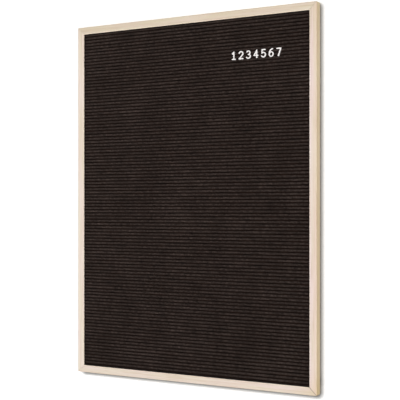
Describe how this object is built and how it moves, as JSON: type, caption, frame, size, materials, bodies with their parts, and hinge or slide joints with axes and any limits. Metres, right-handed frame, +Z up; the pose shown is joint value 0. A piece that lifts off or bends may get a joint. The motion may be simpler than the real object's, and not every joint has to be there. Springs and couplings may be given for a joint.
{
  "type": "letter board",
  "caption": "Felt letter board with grooved black felt, a slim pale wood frame, push-in white digits and sawtooth hangers on the back.",
  "frame": {"origin": "where the wall nail meets the middle notch of the top sawtooth hanger, on the wall's surface", "axes": "+Z up along the board's height, +X to the right seen from the front, +Y back into the wall; the front faces -Y"},
  "size_m": [0.6, 0.0206, 0.8],
  "materials": {
    "frame_wood": "pale hardwood with a clear matt finish",
    "black_felt": "short dark felt over a grooved board",
    "hardboard": "smooth brown hardboard",
    "steel": "bright zinc plate",
    "bumper_rubber": "soft grey pad",
    "digit_plastic": "white satin moulding"
  },
  "bodies": {
    "root": {"frame_rail_top": "frame_wood", "frame_rail_bottom": "frame_wood", "frame_rail_left": "frame_wood", "frame_rail_right": "frame_wood", "felt_panel": "black_felt", "backing_board": "hardboard", "v_nail_bottom_left": "steel", "v_nail_bottom_right": "steel", "v_nail_top_right": "steel", "v_nail_top_left": "steel", "retaining_point_top_1": "steel", "retaining_point_top_2": "steel", "retaining_point_bottom_1": "steel", "retaining_point_bottom_2": "steel", "retaining_point_left_1": "steel", "retaining_point_left_2": "steel", "retaining_point_left_3": "steel", "retaining_point_right_1": "steel", "retaining_point_right_2": "steel", "retaining_point_right_3": "steel", "hanger_top": "steel", "brad_top_1": "steel", "brad_top_2": "steel", "hanger_left": "steel", "brad_left_1": "steel", "brad_left_2": "steel", "bumper_left": "bumper_rubber", "bumper_right": "bumper_rubber", "digit_1": "digit_plastic", "digit_2": "digit_plastic", "digit_3": "digit_plastic", "digit_4": "digit_plastic", "digit_5": "digit_plastic", "digit_6": "digit_plastic", "digit_7": "digit_plastic"}
  },
  "joints": []
}
